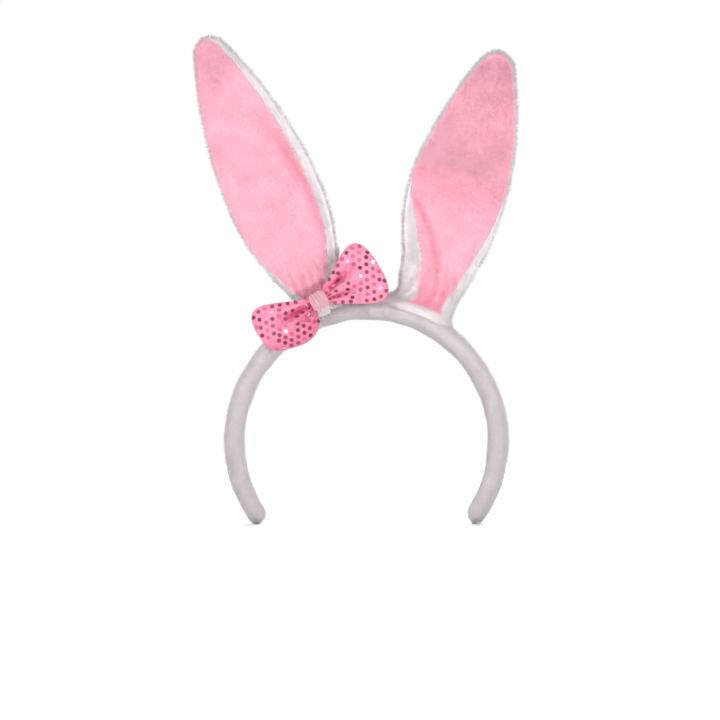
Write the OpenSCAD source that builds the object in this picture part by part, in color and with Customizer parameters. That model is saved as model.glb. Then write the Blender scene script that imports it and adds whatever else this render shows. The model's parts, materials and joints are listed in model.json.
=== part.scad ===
// Rabbit-ear headband: a padded plush band, two bendable plush ears and a sequin bow.
// +Z is up, -Y is the front (the pink side of the ears), +X is the wearer's left.
// The origin is the centre of the round inside of the band, half way between front and back.
// Right and left in the names are the wearer's own.

/* [Band] */
// Radius of the inside of the band, which grips the head
head_r = 70.5; // [66:0.5:76]
// Thickness of the padded band, from the head outwards
band_t = 13.5; // [13:0.5:16]
// Width of the padded band, front to back
band_w = 18; // [17:0.5:22]
// Width of the springy plastic strip inside
core_w = 9; // [7:0.5:9]
// Thickness of the plastic strip
core_t = 1.6; // [1.2:0.1:2]
// Angle from the top of the head at which each leg starts to flex
flex_at = 45; // [42:1:50]
// Angle from the top at which each leg ends
leg_to = 124; // [110:1:126]

/* [Ears] */
// Height of an ear above the band
ear_h = 174; // [150:1:190]
// Widest width of an ear
ear_w = 61; // [54:1:68]
// Height of the widest place above the band
widest_at = 68; // [60:1:70]
// Width of the foot of an ear, where it narrows on to the band
ear_foot_w = 24; // [22:1:30]
// Radius of the rounded tip of an ear
ear_tip_r = 12; // [10:1:15]
// Thickness of the plush panel on each side of an ear, with its pile
panel_t = 4; // [3:0.5:4]
// Thickness of the wadding between the two panels
wadding_t = 3; // [2:0.5:3]
// Diameter of the shaping wire
wire_d = 1.5; // [1.2:0.1:1.6]
// Angle of the right ear round the band, from the top
right_at = 18.5; // [18:0.5:24]
// Angle of the left ear round the band, from the top
left_at = 23; // [20:0.5:24]
// Height of the bend half way up an ear, above the band
fold_at = 74; // [72:1:80]
// Lean of the right ear away from upright
right_lean = 24; // [19:1:26]
// Lean of the left ear away from upright
left_lean = 13.5; // [12:0.5:23]
// Turn of the right ear about its own length, to the wearer's right
right_turn = 15; // [0:1:15]
// Turn of the left ear about its own length, to the wearer's left
left_turn = 5; // [0:1:12]
// Forward bend of the top half of the right ear
right_bend = 2; // [0:1:8]
// Forward bend of the top half of the left ear
left_bend = 36; // [0:1:38]

/* [Bow] */
// Place of the knot to the wearer's right of the middle
bow_x = 27.5; // [26:0.5:29]
// Height of the knot above the centre of the band
bow_z = 82; // [81:0.5:84]
// Slope of the bow, rising to the wearer's left
bow_slope = 31; // [25:1:35]
// Length of a loop, from the middle of the knot to its outer edge
loop_len = 42; // [38:1:44]
// Height of a loop at its outer end
loop_h = 38; // [32:1:40]
// Thickness of a stuffed loop
loop_t = 14; // [12:1:15]
// Extra droop of the right-hand loop
droop = 5; // [0:1:8]
// Diameter of a sequin
sequin_d = 2.5; // [2:0.5:3.5]
// Distance from one sequin to the next
sequin_pitch = 4.2; // [4:0.1:5]

/* [Hidden] */
$fn = 64;

plush_white = [0.95, 0.93, 0.93];
plush_pink = [0.98, 0.71, 0.79];
satin_pink = [0.95, 0.84, 0.88];
sequin_pink = [0.93, 0.55, 0.70];
plastic_white = [0.90, 0.90, 0.88];
foam_grey = [0.82, 0.82, 0.84];
steel = [0.72, 0.73, 0.75];
thread_white = [0.88, 0.86, 0.86];

// Sides: the right ear and leg stand at -X, the left ones at +X
RIGHT = -1;
LEFT = 1;

slip = 0.1;        // clearance between the layers inside the band
flex_gap = 0.3;    // gap between the crown and a leg
plush_t = 3.2;     // plush fabric with its pile, round the band
edge_r = 5.5;      // rounding of the band's section
band_r = head_r + band_t;          // outside of the band
mid_r = head_r + band_t / 2;       // middle of its section
flex_a = asin(flex_gap / 2 / head_r);   // half of the flex gap, as an angle

hem_t = 2.2;       // sewn hem at the foot of an ear
hem_a = 9.5;       // half of the angle that the hem covers
knuckle_r = 6;     // rounded lower end of the cuff
tilt_r = band_r + hem_t + 0.3 + knuckle_r;   // radius of the axis that an ear tilts about
disc_r = 13;       // round upper end of the cuff
disc_z = 10;       // its centre, above the tilt axis
disc_h = tilt_r - band_r + disc_z;           // its centre, above the band
ear_t = 2 * panel_t + wadding_t;
wire_inset = 6;    // wire loop, inside the edge of the ear
fold_gap = 0.8;    // half of the gap in the solids at the fold
fold_z = fold_at - disc_h;         // fold, above the centre of the cuff's disc

loop_back = 16.8;  // back of the loops, in front of the middle of the band
knot_w = 9.6;
knot_back = 14;
knot_t = 15;
knot_h = 11.5;
neck_x = knot_w / 2 + 0.7;         // where a loop starts, from the middle of the knot
waist_w = knot_w + 0.6;            // pinched cloth between the loops
bow_a = -atan(bow_x / bow_z);      // angle of the knot round the band
patch_t = 1.6;

// ---- outlines ----

// Points along an arc of radius r about c, from angle a to angle b
function arc(c, r, a, b, n) =
    [for (i = [0:n]) c + r * [cos(a + (b - a) * i / n), sin(a + (b - a) * i / n)]];
function flipped(pts) = [for (i = [len(pts) - 1:-1:0]) [-pts[i][0], pts[i][1]]];

// An ear's side: a small-radius arc from the foot to the widest place, then a long one that
// meets the tip's arc without a corner
half_w = ear_w / 2;
foot_in = half_w - ear_foot_w / 2;
low_drop = widest_at - 8;
low_r = (foot_in * foot_in + low_drop * low_drop) / (2 * foot_in);
tip_rise = ear_h - ear_tip_r - widest_at;
high_r = (half_w * half_w + tip_rise * tip_rise - ear_tip_r * ear_tip_r)
    / (2 * (half_w - ear_tip_r));
high_a = asin(tip_rise / (high_r - ear_tip_r));
low_c = [half_w - low_r, widest_at - disc_h];
high_c = [half_w - high_r, widest_at - disc_h];
tip_c = [0, ear_h - ear_tip_r - disc_h];

function ear_side(inset) = concat(
    arc(low_c, low_r - inset, -asin(low_drop / low_r), 0, 14),
    arc(high_c, high_r - inset, high_a / 14, high_a, 13),
    arc(tip_c, ear_tip_r - inset, high_a + 8, 90, 6));
function ear_outline(inset) = concat(ear_side(inset), flipped(ear_side(inset)));

function loop_outline(inset) =
    let (corner = 9, cx = loop_len - corner, cy = loop_h / 2 - corner, neck = 5)
    concat([[neck_x + inset, -neck + inset]],
        arc([cx, -cy], corner - inset, -112, -8, 8),
        arc([cx, cy], corner - inset, 8, 112, 8),
        [[neck_x + inset, neck - inset]]);

// A rectangle w wide in x and h high in y, with rounded corners
module rounded(w, h, r) {
    square([w - 2 * r, h], center = true);
    square([w, h - 2 * r], center = true);
    for (x = [-1, 1], y = [-1, 1])
        translate([x * (w / 2 - r), y * (h / 2 - r)]) circle(r);
}

// ---- placing ----

// Turns what is drawn upright to an angle round the band, towards +X
module round_band(a) rotate([0, a, 0]) children();

// Sweeps a section (x outwards, y to the back) about a circle's centre, from the angle a to b.
// Angles are counted from the top, towards +X
module sweep(a, b)
    rotate([-90, 0, 0]) rotate([0, 0, a - 90])
        rotate_extrude(angle = b - a, $fn = 144) children();

function at_of(side) = side == RIGHT ? right_at : left_at;
module at_ear(side) round_band(side * at_of(side)) translate([0, 0, tilt_r]) children();

function turn_of(side) = side == RIGHT ? -right_turn : left_turn;
function lean_of(side) = side * ((side == RIGHT ? right_lean : left_lean) - at_of(side));
function bend_of(side) = side == RIGHT ? right_bend : left_bend;

module at_lower(side)
    at_ear(side) translate([0, 0, disc_z])
        rotate([0, 0, turn_of(side)]) rotate([0, lean_of(side), 0]) children();

module at_upper(side)
    at_lower(side) translate([0, 0, fold_z]) rotate([bend_of(side), 0, 0])
        translate([0, 0, -fold_z]) children();

module at_bow() translate([-bow_x, 0, bow_z]) rotate([0, -bow_slope, 0]) children();

// ---- band ----

// One stretch of a band layer: the crown, or a leg
module band_stretch(part) {
    if (part == "crown")
        sweep(-flex_at + flex_a, flex_at - flex_a) translate([mid_r, 0]) children();
    if (part == "right")
        sweep(-leg_to, -flex_at - flex_a) translate([mid_r, 0]) children();
    if (part == "left")
        sweep(flex_at + flex_a, leg_to) translate([mid_r, 0]) children();
}

module core_section(gap) square([core_t + 2 * gap, core_w + 2 * gap], center = true);
module hollow_section(gap)
    rounded(band_t - 2 * plush_t - 2 * gap, band_w - 2 * plush_t - 2 * gap, edge_r - plush_t);
module sleeve_section() rounded(band_t, band_w, edge_r);

module core(part) color(plastic_white) band_stretch(part) core_section(0);

module sleeve(part) color(plush_white)
    band_stretch(part) difference() {
        sleeve_section();
        hollow_section(0);
    }

module padding(part) color(foam_grey)
    difference() {
        band_stretch(part) difference() {
            hollow_section(slip);
            core_section(slip);
        }
        if (part == "crown")
            for (side = [RIGHT, LEFT]) binding_room(side);
    }

// Stitches that close the sleeve along the back of the band
module seam_stitches(from, to, n) {
    pitch = (to - from) / n;
    for (i = [0:n - 1])
        sweep(from + pitch * (i + 0.2), from + pitch * (i + 0.8))
            translate([mid_r, band_w / 2 + 0.3]) square([0.6, 0.6], center = true);
}
module crown_seam() color(thread_white) seam_stitches(-flex_at + 1, flex_at - 1, 22);
module leg_seam(side) color(thread_white)
    seam_stitches(side * (flex_at + 1), side * (leg_to - 1), 19);

// The plush is gathered and sewn shut over the end of the strip
module leg_end(side) color(plush_white)
    round_band(side * leg_to) translate([0, 0, mid_r]) rotate([0, side * 90, 0]) {
        linear_extrude(2) rounded(band_t - 1, band_w - 1, edge_r - 0.5);
        translate([0, 0, 2]) linear_extrude(1.5) rounded(band_t - 5, band_w - 5, edge_r - 2.5);
    }

// ---- what ties the ears to the band ----

binding_a = 5;
module binding_section(gap)
    square([core_t + 2 + 2 * gap, core_w + 1.4 + 2 * gap], center = true);
module binding_room(side)
    sweep(side * at_of(side) - binding_a - 0.2, side * at_of(side) + binding_a + 0.2)
        translate([mid_r, 0]) binding_section(slip);

// Wire ends wound round the strip and taped
module wire_binding(side) color(steel)
    sweep(side * at_of(side) - binding_a, side * at_of(side) + binding_a) translate([mid_r, 0])
        difference() {
            binding_section(0);
            core_section(0);
        }

tail_x = 3;        // each wire tail, from the middle of the ear
module wire_tails(side) color(steel)
    round_band(side * at_of(side))
        for (x = [-tail_x, tail_x]) translate([x, 0, mid_r + core_t / 2 + 1])
            cylinder(h = tilt_r - knuckle_r - 0.4 - mid_r - core_t / 2 - 1, d = wire_d);

// The ear's bottom edge, turned out and sewn to the top of the band
module ear_foot(side) color(plush_white)
    sweep(side * at_of(side) - hem_a, side * at_of(side) + hem_a)
        translate([band_r + hem_t / 2, 0]) square([hem_t, 14], center = true);

// ---- ear ----

module cuff(side) color(plush_white)
    at_ear(side) {
        rotate([0, 90, 0]) cylinder(h = 2 * disc_r - 4, r = knuckle_r, center = true);
        intersection() {
            translate([0, 0, disc_z]) rotate([0, 0, turn_of(side)]) rotate([90, 0, 0])
                cylinder(h = ear_t, r = disc_r, center = true);
            translate([-20, -20, 3]) cube(40);
        }
    }

// The two wire ends inside the cuff, spreading from the band to the foot of the ear
module wire_stem(side) color(steel)
    at_ear(side) rotate([0, 0, turn_of(side)]) for (m = [0, 1]) mirror([m, 0, 0])
        wire_run([[tail_x, -knuckle_r + 1.2], [tail_x, -2], [tail_x + 1.5, 1],
            [disc_r - 1.5, disc_z + 1.5]]);

// Room for the sideways bend at the cuff and for the fold half way up
module cuff_room() {
    rotate([90, 0, 0]) cylinder(h = 40, r = disc_r + 0.3, center = true);
    translate([-50, -20, -60]) cube([100, 40, 60]);
}
module fold_room() {
    d = 12;
    translate([0, 0, fold_z]) rotate([90, 0, 90]) linear_extrude(2 * ear_w, center = true)
        polygon([[-d, -d - fold_gap], [0, -fold_gap], [d, -d - fold_gap],
            [d, d + fold_gap], [0, fold_gap], [-d, d + fold_gap]]);
}

// Keeps the part of an ear below or above the fold
module half(level) {
    difference() {
        children();
        fold_room();
        cuff_room();
        translate([-100, -100, level == "lower" ? fold_z : fold_z - 200]) cube([200, 200, 200]);
    }
}

module ear_slab(inset, y0, t)
    translate([0, y0 + t, 0]) rotate([90, 0, 0]) linear_extrude(t) polygon(ear_outline(inset));

// A round wire bent in the plane of the ear through the points given as [across, up]
wire_sides = 8;
function heading(p, i) =
    let (d = p[min(i + 1, len(p) - 1)] - p[max(i - 1, 0)]) d / norm(d);
module wire_run(p) {
    n = wire_sides;
    rings = len(p);
    polyhedron(
        points = [for (i = [0:rings - 1], q = [0:n - 1])
            let (d = heading(p, i), out = cos(360 * q / n) * wire_d / 2)
                [p[i][0] + out * d[1], sin(360 * q / n) * wire_d / 2, p[i][1] - out * d[0]]],
        faces = concat(
            [[for (q = [0:n - 1]) q]],
            [for (i = [0:rings - 2], q = [0:n - 1], half = [0, 1])
                let (a = i * n + q, b = i * n + (q + 1) % n)
                    half == 0 ? [a, a + n, b] : [b, a + n, b + n]],
            [[for (q = [n - 1:-1:0]) (rings - 1) * n + q]]));
}

// Angle of the wire's long side arc at a height above the band
function high_angle(z) = asin((z - widest_at) / (high_r - wire_inset));
wire_foot_z = 3;   // where the wire leaves the cuff, above the centre of its disc
function wire_lower_leg() = concat(
    arc(low_c, low_r - wire_inset, asin((wire_foot_z - low_c[1]) / (low_r - wire_inset)), 0, 6),
    arc(high_c, high_r - wire_inset, high_angle(fold_at - fold_gap) / 2,
        high_angle(fold_at - fold_gap), 1));
function wire_upper_leg() = concat(
    arc(high_c, high_r - wire_inset, high_angle(fold_at + fold_gap), high_a, 8),
    arc(tip_c, ear_tip_r - wire_inset, high_a + 15, 90, 4));

module wire_lower() for (m = [0, 1]) mirror([m, 0, 0]) wire_run(wire_lower_leg());
module wire_upper() {
    leg = wire_upper_leg();
    wire_run(concat(leg, [for (i = [len(leg) - 2:-1:0]) [-leg[i][0], leg[i][1]]]));
}

module ear_level(side, level) {
    if (level == "lower") at_lower(side) children();
    else at_upper(side) children();
}
module ear_front(side, level) color(plush_pink)
    ear_level(side, level) half(level) ear_slab(0, -ear_t / 2, panel_t);
module ear_back(side, level) color(plush_white)
    ear_level(side, level) half(level) ear_slab(0, wadding_t / 2, panel_t);
module ear_wadding(side, level) color(foam_grey)
    ear_level(side, level) half(level) ear_slab(3, -wadding_t / 2, wadding_t);
module ear_wire(side, level) color(steel)
    ear_level(side, level) {
        if (level == "lower") wire_lower();
        else wire_upper();
    }

// ---- bow ----

// Felt patch sewn to the front of the band, which carries the bow
module bow_patch() color(satin_pink)
    round_band(bow_a) translate([-5, -band_w / 2 - patch_t, head_r + 4]) cube([10, patch_t, 15]);

module bow_patch_stitches() color(thread_white)
    round_band(bow_a) for (x = [-3.6, -1.2, 1.2, 3.6])
        translate([x, -band_w / 2 + 1.5, mid_r]) rotate([90, 0, 0]) cylinder(h = 3.6, d = 0.8);

// Thread wound between the patch and the knot, on which the bow turns
shank_d = 1.6;
module bow_shank() color(thread_white)
    at_bow() translate([0, -band_w / 2 - 0.4, 0]) rotate([90, 0, 0])
        cylinder(h = knot_back + 1.6 - band_w / 2 - 0.4, d = shank_d);

module loop_slab(inset)
    translate([0, -loop_back - inset, 0]) rotate([90, 0, 0])
        linear_extrude(loop_t - 2 * inset) polygon(loop_outline(inset));

module bow_side(side)
    at_bow() rotate([0, side == RIGHT ? 180 - droop : 0, 0])
        mirror([0, 0, side == RIGHT ? 1 : 0]) children();

fabric_t = 1.2;
module bow_loop(side) color(plush_pink)
    bow_side(side) difference() {
        loop_slab(0);
        loop_slab(fabric_t);
    }
module bow_wadding(side) color(foam_grey) bow_side(side) loop_slab(fabric_t + slip);

function loop_half_h(x) = min(5 + (x - 5) * (loop_h / 2 - 5) / (loop_len - 15), loop_h / 2);
module bow_sequins(side) color(sequin_pink)
    bow_side(side) for (row = [-5:5], i = [0:9]) {
        x = 8 + sequin_pitch * (i + (row % 2 == 0 ? 0 : 0.5)) * 0.95;
        z = row * sequin_pitch * 0.87;
        if (abs(z) < loop_half_h(x) - 2 && x + abs(z) * 0.3 < loop_len - 2)
            translate([x, -loop_back - loop_t, z]) rotate([90, 0, 0])
                cylinder(h = 0.4, d = sequin_d, $fn = 24);
    }

module bow_waist() color(plush_pink)
    at_bow() translate([0, -knot_back - knot_t / 2 - 0.5, 0]) rotate([90, 0, 90])
        linear_extrude(waist_w, center = true) difference() {
            rounded(knot_t - 5, knot_h - 4, 2);
            circle(1.5);
        }
module bow_pinch_thread() color(thread_white)
    at_bow() translate([0, -knot_back - knot_t / 2 - 0.5, 0]) rotate([90, 0, 90])
        linear_extrude(2, center = true) circle(1.5);

module bow_knot() color(satin_pink)
    at_bow() difference() {
        translate([0, -knot_back - knot_t / 2, 0]) rotate([90, 0, 90])
            linear_extrude(knot_w, center = true) rounded(knot_t, knot_h, 3);
        translate([0, -knot_back - knot_t / 2 - 0.5, 0]) rotate([90, 0, 90])
            linear_extrude(knot_w + 2, center = true)
                rounded(knot_t - 5 + 2 * slip, knot_h - 4 + 2 * slip, 2 + slip);
        translate([0, -knot_back + 1, 0]) rotate([90, 0, 0])
            cylinder(h = 3.1, d = shank_d + 0.1);
    }

core("crown");  // crown_core
padding("crown");  // crown_padding
sleeve("crown");  // crown_sleeve
crown_seam();
ear_foot(RIGHT);  // right_ear_foot
ear_foot(LEFT);  // left_ear_foot
wire_binding(RIGHT);  // right_wire_binding
wire_binding(LEFT);  // left_wire_binding
wire_tails(RIGHT);  // right_wire_tails
wire_tails(LEFT);  // left_wire_tails
bow_patch();
bow_patch_stitches();
bow_shank();
core("right");  // right_leg_core
padding("right");  // right_leg_padding
sleeve("right");  // right_leg_sleeve
leg_seam(RIGHT);  // right_leg_seam
leg_end(RIGHT);  // right_leg_end
core("left");  // left_leg_core
padding("left");  // left_leg_padding
sleeve("left");  // left_leg_sleeve
leg_seam(LEFT);  // left_leg_seam
leg_end(LEFT);  // left_leg_end
cuff(RIGHT);  // right_ear_cuff
cuff(LEFT);  // left_ear_cuff
wire_stem(RIGHT);  // right_wire_stem
wire_stem(LEFT);  // left_wire_stem
ear_front(RIGHT, "lower");  // right_ear_front_lower
ear_back(RIGHT, "lower");  // right_ear_back_lower
ear_wadding(RIGHT, "lower");  // right_ear_wadding_lower
ear_wire(RIGHT, "lower");  // right_ear_wire_lower
ear_front(RIGHT, "upper");  // right_ear_front_upper
ear_back(RIGHT, "upper");  // right_ear_back_upper
ear_wadding(RIGHT, "upper");  // right_ear_wadding_upper
ear_wire(RIGHT, "upper");  // right_ear_wire_upper
ear_front(LEFT, "lower");  // left_ear_front_lower
ear_back(LEFT, "lower");  // left_ear_back_lower
ear_wadding(LEFT, "lower");  // left_ear_wadding_lower
ear_wire(LEFT, "lower");  // left_ear_wire_lower
ear_front(LEFT, "upper");  // left_ear_front_upper
ear_back(LEFT, "upper");  // left_ear_back_upper
ear_wadding(LEFT, "upper");  // left_ear_wadding_upper
ear_wire(LEFT, "upper");  // left_ear_wire_upper
bow_loop(RIGHT);  // bow_right_loop
bow_loop(LEFT);  // bow_left_loop
bow_wadding(RIGHT);  // bow_right_wadding
bow_wadding(LEFT);  // bow_left_wadding
bow_sequins(RIGHT);  // bow_right_sequins
bow_sequins(LEFT);  // bow_left_sequins
bow_waist();
bow_pinch_thread();
bow_knot();
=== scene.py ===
"""Rabbit-ears headband: a plush band, two bendable plush ears and a sequin bow, on its CAD frame."""

import json
import math

import bpy
import numpy as np
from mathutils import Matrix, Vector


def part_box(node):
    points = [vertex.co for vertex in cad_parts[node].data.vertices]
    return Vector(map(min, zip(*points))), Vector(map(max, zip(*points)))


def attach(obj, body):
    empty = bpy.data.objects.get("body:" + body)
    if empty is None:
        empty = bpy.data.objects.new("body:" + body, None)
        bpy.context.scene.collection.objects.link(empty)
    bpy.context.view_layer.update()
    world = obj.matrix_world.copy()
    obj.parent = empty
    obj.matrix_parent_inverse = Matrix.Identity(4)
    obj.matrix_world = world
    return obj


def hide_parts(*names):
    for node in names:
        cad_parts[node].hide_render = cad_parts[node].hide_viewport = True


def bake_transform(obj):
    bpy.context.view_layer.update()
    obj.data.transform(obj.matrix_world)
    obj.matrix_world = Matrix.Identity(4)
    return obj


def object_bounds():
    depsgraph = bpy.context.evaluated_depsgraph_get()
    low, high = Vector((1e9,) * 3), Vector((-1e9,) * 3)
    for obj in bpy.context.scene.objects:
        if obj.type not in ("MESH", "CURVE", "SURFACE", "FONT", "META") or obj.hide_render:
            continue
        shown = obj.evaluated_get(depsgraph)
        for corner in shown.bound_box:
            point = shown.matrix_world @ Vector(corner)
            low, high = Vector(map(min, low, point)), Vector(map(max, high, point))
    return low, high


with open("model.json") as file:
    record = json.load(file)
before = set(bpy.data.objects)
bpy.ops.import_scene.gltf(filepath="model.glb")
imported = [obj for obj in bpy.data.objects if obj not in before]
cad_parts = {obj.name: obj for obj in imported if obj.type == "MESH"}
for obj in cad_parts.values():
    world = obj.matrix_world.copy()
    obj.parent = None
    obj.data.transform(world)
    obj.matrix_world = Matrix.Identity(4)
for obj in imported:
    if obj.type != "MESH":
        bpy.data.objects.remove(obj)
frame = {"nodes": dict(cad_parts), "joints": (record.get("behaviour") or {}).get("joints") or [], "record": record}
cad_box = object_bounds()
joints = {j["name"]: j for j in frame["joints"]}
MM = 0.001

# ---- Stage ----
# A pale floor under the leg tips, a white surround and three soft lights. The camera stands level in
# front of the headband, a little lower than the feet of the ears.

view_centre = (-0.0038, 0.0478)      # x and z of the middle of the view
view_width = 0.425
camera_distance = 1.35
floor_radius = 0.8
floor_sides = 96
floor_gap = 0.0004                   # under the lowest point of the headband

scene = bpy.context.scene
camera_data = bpy.data.cameras.new("camera")
camera = bpy.data.objects.new("camera", camera_data)
scene.collection.objects.link(camera)
camera.location = (view_centre[0], -camera_distance, view_centre[1])
camera.rotation_euler = (math.pi / 2, 0, 0)
camera_data.angle = 2 * math.atan(view_width / 2 / camera_distance)
scene.camera = camera
scene.view_settings.view_transform = "Standard"
scene.view_settings.look = "None"

floor_ring = np.linspace(0, 2 * np.pi, floor_sides, endpoint=False)
floor_mesh = bpy.data.meshes.new("floor")
floor_mesh.from_pydata(
    np.stack([floor_radius * np.cos(floor_ring), floor_radius * np.sin(floor_ring),
              np.full(floor_sides, cad_box[0].z - floor_gap)], -1).tolist(),
    [], [list(range(floor_sides))])
floor = bpy.data.objects.new("floor", floor_mesh)
scene.collection.objects.link(floor)
floor_paint = bpy.data.materials.new("floor_paint")
floor_paint.use_nodes = True
floor_shader = floor_paint.node_tree.nodes["Principled BSDF"]
floor_shader.inputs["Base Color"].default_value = (0.93, 0.93, 0.93, 1)
floor_shader.inputs["Roughness"].default_value = 0.9
floor_mesh.materials.append(floor_paint)

surround = bpy.data.worlds.new("surround")
surround.use_nodes = True
sky = surround.node_tree
seen = sky.nodes.new("ShaderNodeLightPath")
strength = sky.nodes.new("ShaderNodeMapRange")
strength.inputs["To Min"].default_value = 0.92
strength.inputs["To Max"].default_value = 1.0
sky.links.new(seen.outputs["Is Camera Ray"], strength.inputs["Value"])
sky.links.new(strength.outputs["Result"], sky.nodes["Background"].inputs["Strength"])
sky.nodes["Background"].inputs["Color"].default_value = (1, 1, 1, 1)
scene.world = surround


def soft_light(name, place, aim, size, power):
    """A square area light at one point, facing another."""
    lamp = bpy.data.lights.new(name, "AREA")
    lamp.size = size
    lamp.energy = power
    light = bpy.data.objects.new(name, lamp)
    scene.collection.objects.link(light)
    light.location = place
    heading = np.array(aim) - np.array(place)
    light.rotation_euler = (
        math.acos(-heading[2] / np.linalg.norm(heading)), 0,
        math.atan2(heading[1], heading[0]) - math.pi / 2)


soft_light("key_light", (-0.75, -1.35, 0.55), (0, 0, 0.1), 0.9, 11)
soft_light("fill_light", (0.45, -1.4, 0.02), (0, 0, 0.15), 0.4, 11.5)
soft_light("back_light", (0.3, 1.3, 0.7), (0, 0, 0.1), 1.2, 22)

# ---- Band sleeve ----
# One tube of white plush over the padded strip, sewn shut along the back and gathered at the leg
# tips. It is made here as two halves that meet at the top.

head_r = frame["record"]["mounts"][0]["dims"]["r_mm"]
flex_point = np.array(joints["left_leg_flex"]["pos_m"]) / MM
band_r = np.linalg.norm(flex_point)
band_t = band_r - head_r
band_w = 18.0
leg_to = math.radians(124)
mid_r = (head_r + band_r) / 2
pile_room = 2.5          # how far the pile stands out from the cloth
tuft_size = 2.4
spike_r = 0.24           # radius of the foot of one spike of pile
spike_root = 0.35        # depth of its foot under the cloth's surface
sleeve_spikes = 46000
top_overlap = 1.6        # how far each half of the sleeve runs on past the top of the band
leg_overhang = 3.2       # and past the end of the padded strip
tip_round = 5.0          # length of the half round that closes it there


def smooth(x):
    """An S-shaped rise from 0 to 1 while x goes from 0 to 1: three x squared less two x cubed."""
    x = np.clip(x, 0, 1)
    return x * x * (3 - 2 * x)


def clouds(points, size, seed):
    """Cloudy noise, mostly between -1 and 1: twelve sine waves added up, which run through the points
    in random directions from random starts. size is about the distance from crest to crest."""
    rng = np.random.default_rng(seed)
    run = rng.normal(size=(12, 3))
    run *= (rng.uniform(0.7, 1.5, 12) / np.linalg.norm(run, axis=1))[:, None]
    start = rng.uniform(0, 2 * np.pi, 12)
    return np.sin(points @ run.T * (2 * np.pi / size) + start).sum(-1) / 4.0


def slope(grid, along, closed):
    """How fast a grid of points moves from row to row (along 0) or from column to column (along 1)."""
    if along == 1 and closed:
        return (np.roll(grid, -1, 1) - np.roll(grid, 1, 1)) / 2
    return np.gradient(grid, axis=along)


def unit(v):
    """Vectors shortened or stretched to length 1."""
    return v / np.maximum(np.linalg.norm(v, axis=-1, keepdims=True), 1e-9)


def outward(skin, core, closed):
    """Unit normals of a grid of points: the two slopes' cross product, turned away from the core line."""
    n = unit(np.cross(slope(skin, 0, closed), slope(skin, 1, closed)))
    away = (n * (skin - core[:, None])).sum()
    return n if away > 0 else -n


def pile(skin, core, marks, depth, count, seed, closed=False, comb=0.45):
    """Pile planted on a skin: count closed three-sided spikes, spread evenly over its area. Each
    starts at a point found by bilinear steps inside a grid cell. It points along the normal, leaning
    along the rows and by cloudy noise, and its tip is drawn towards the middle of its tuft.
    skin is a grid of points in mm, marks are named grids of values, depth is the pile's length.
    Returns what made() takes: points, triangles, values at the points, map and normals."""
    rng = np.random.default_rng(seed)
    normal = outward(skin, core, closed)
    down = unit(slope(skin, 0, closed))
    rows, columns = skin.shape[:2]
    wide = columns if closed else columns - 1
    right = (np.arange(wide) + 1) % columns
    a, b, c, d = skin[:-1, :wide], skin[:-1, right], skin[1:, :wide], skin[1:, right]
    area = np.linalg.norm(np.cross(d - a, b - c), axis=-1) / 2
    reach = np.cumsum(area)
    picked = np.searchsorted(reach, (np.arange(count) + rng.random(count)) / count * reach[-1])
    picked = np.minimum(picked, area.size - 1)
    i, j = np.divmod(picked, wide)
    k = (j + 1) % columns
    s, t = rng.random(count), rng.random(count)

    def inside(grid):
        """The grid's value at each spike's root, mixed from the four corners of its cell."""
        s_, t_ = (s[:, None], t[:, None]) if grid.ndim == 3 else (s, t)
        top = grid[i, j] * (1 - t_) + grid[i, k] * t_
        return top * (1 - s_) + (grid[i + 1, j] * (1 - t_) + grid[i + 1, k] * t_) * s_

    root, out, run = inside(skin), unit(inside(normal)), unit(inside(down))
    side = np.cross(out, run)
    lean = comb + 0.1 * clouds(root, 13, seed + 1)
    sway = 0.12 * clouds(root, 12, seed + 2)
    jitter = rng.normal(size=(count, 3)) * 0.25
    heading = unit(out + run * lean[:, None] + side * sway[:, None] + jitter)
    length = inside(depth) * rng.uniform(0.72, 1.2, count)
    tip = root + heading * length[:, None]
    warp = np.stack([clouds(root, 6, seed + 3 + n) for n in range(3)], -1)
    cells = np.floor((root + warp) / tuft_size).astype(int)
    tuft = np.unique(cells, axis=0, return_inverse=True)[1].ravel()
    members = np.bincount(tuft)
    middle = np.stack([np.bincount(tuft, tip[:, n]) / members for n in range(3)], -1)[tuft]
    tip = tip + (middle - tip) * rng.uniform(0.0, 0.28, count)[:, None]
    heading = unit(tip - root)
    first = unit(np.cross(heading, rng.normal(size=(count, 3))))
    second = np.cross(heading, first)
    thick = spike_r * rng.uniform(0.8, 1.25, count)
    points = [root - out * spike_root + (first * math.cos(q) + second * math.sin(q)) * thick[:, None]
              for q in (0, 2 * math.pi / 3, 4 * math.pi / 3)]
    points = np.stack(points + [tip], 1).reshape(-1, 3)
    spike = np.array([[0, 2, 1], [0, 1, 3], [1, 2, 3], [2, 0, 3]])
    faces = (np.arange(count)[:, None, None] * 4 + spike).reshape(-1, 3)
    shade = rng.uniform(-1, 1, members.size)[tuft] * 0.6 + rng.uniform(-1, 1, count) * 0.4
    values = {name: np.repeat(inside(grid), 4) for name, grid in marks.items()}
    values["shade"] = np.repeat(shade, 4)
    values["pile"] = np.tile([0.0, 0.0, 0.0, 1.0], count)
    place = np.stack([(i + s) / (rows - 1), (j + t) / wide], -1)
    facing = np.stack([out, out, out, unit(out + 0.5 * heading)], 1).reshape(-1, 3)
    return points, faces, values, np.repeat(place, 12, 0), facing


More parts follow.
